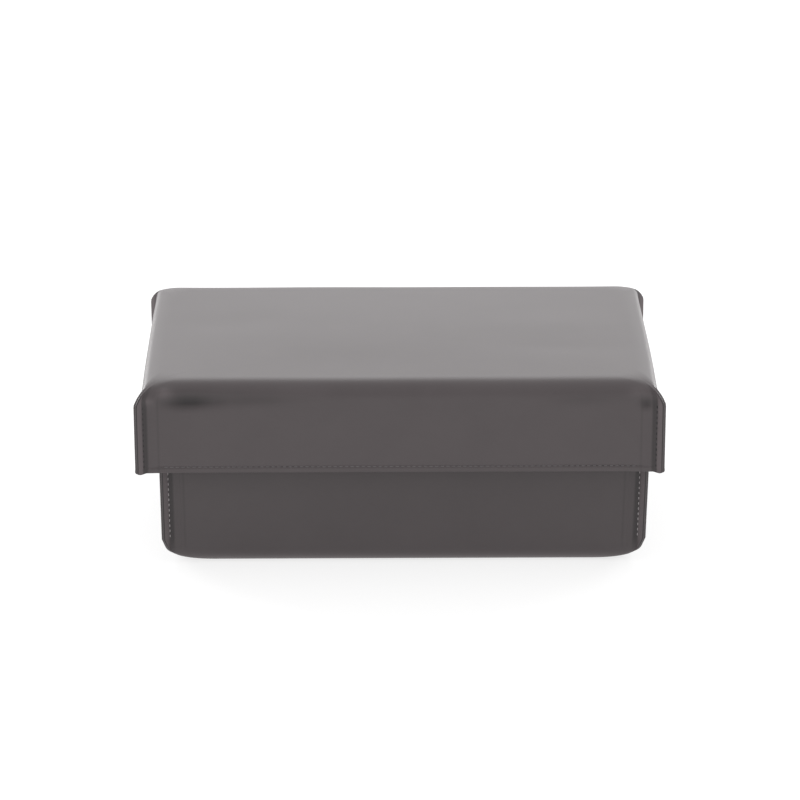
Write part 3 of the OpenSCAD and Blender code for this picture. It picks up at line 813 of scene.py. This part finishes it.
# Floor, world and lamps
stageLook = {
    "floorHalf": 6,               # half the floor's width in metres
    "floorColour": 0.42,          # its grey, which takes the shadows
    "floorRoughness": 0.9,
    "glowForCamera": 0.74,        # how much it glows for the camera
    "glowForLight": 0.5,          # and for everything else
    "front": 0.62, "back": 1.02,  # the world's strength at the front and at the back
    "aim": (0, 0, 0.1),           # where the lamps point
}
lamps = {    # place in metres, size in metres and power in watts
    "back_left_light": ((-1.6, 1.5, 0.45), (0.9, 0.7), 25),
    "back_right_light": ((1.6, 1.5, 0.45), (0.9, 0.7), 19),
    "low_back_light": ((0, 2.3, 1.15), (2.6, 1.5), 8),
}
wide = stageLook["floorHalf"]
mesh = bpy.data.meshes.new("floor")
corners = [(-wide, -wide, 0), (wide, -wide, 0), (wide, wide, 0), (-wide, wide, 0)]
mesh.from_pydata(corners, [], [(0, 1, 2, 3)])
floor = bpy.data.objects.new("floor", mesh)
bpy.context.scene.collection.objects.link(floor)
floorPaint, floorShader = newMaterial("floor", (stageLook["floorColour"],)*3, stageLook["floorRoughness"])
floorShader.inputs["Specular IOR Level"].default_value = 0
floorShader.inputs["Emission Color"].default_value = (1, 1, 1, 1)
ray = node(floorPaint, "ShaderNodeLightPath")
glow = node(floorPaint, "ShaderNodeMapRange")
glow.inputs["To Min"].default_value = stageLook["glowForLight"]
glow.inputs["To Max"].default_value = stageLook["glowForCamera"]
link(floorPaint, ray, "Is Camera Ray", glow, "Value")
link(floorPaint, glow, "Result", floorShader, "Emission Strength")
mesh.materials.append(floorPaint)

# White to the camera, and for light a studio that grows brighter from the front to the back:
# strength runs with the direction's y, from one value at the front to another at the back
world = bpy.data.worlds.new("studio")
bpy.context.scene.world = world
world.use_nodes = True
background = world.node_tree.nodes["Background"]
background.inputs["Color"].default_value = (1, 1, 1, 1)
direction = node(world, "ShaderNodeTexCoord")
parts = node(world, "ShaderNodeSeparateXYZ")
strength = node(world, "ShaderNodeMapRange")
strength.inputs["From Min"].default_value = -1
strength.inputs["From Max"].default_value = 1
strength.inputs["To Min"].default_value = stageLook["front"]
strength.inputs["To Max"].default_value = stageLook["back"]
rayKind = node(world, "ShaderNodeLightPath")
choice = node(world, "ShaderNodeMix")
choice.inputs["B"].default_value = 1
link(world, direction, "Generated", parts, "Vector")
link(world, parts, "Y", strength, "Value")
link(world, rayKind, "Is Camera Ray", choice, "Factor")
link(world, strength, "Result", choice, "A")
link(world, choice, "Result", background, "Strength")

for name, (place, size, power) in lamps.items():
    lamp = bpy.data.lights.new(name, "AREA")
    lamp.shape = "RECTANGLE"
    lamp.size, lamp.size_y = size
    lamp.energy = power
    obj = bpy.data.objects.new(name, lamp)
    bpy.context.scene.collection.objects.link(obj)
    obj.location = place
    obj.rotation_euler = (Vector(stageLook["aim"]) - Vector(place)).to_track_quat("-Z", "Y").to_euler()

cameraFacts = {
    "place": (-0.0192, -2.0958, 0.8412),       # in metres
    "forward": (0.00897, 0.93862, -0.34482),
    "right": (0.99995, -0.00955, 0.0),
    "lens": 170.45, "sensor": 36,              # in mm
}
camera = bpy.data.cameras.new("camera")
camera.lens = cameraFacts["lens"]
camera.sensor_width = cameraFacts["sensor"]
cameraObject = bpy.data.objects.new("camera", camera)
bpy.context.scene.collection.objects.link(cameraObject)
forward = Vector(cameraFacts["forward"]).normalized()
right = Vector(cameraFacts["right"])
right = (right - forward*right.dot(forward)).normalized()
turned = Matrix((right, right.cross(forward), -forward)).transposed().to_4x4()
cameraObject.matrix_world = Matrix.Translation(cameraFacts["place"]) @ turned
bpy.context.scene.camera = cameraObject
bpy.context.scene.view_settings.view_transform = "Standard"
print("stage set")
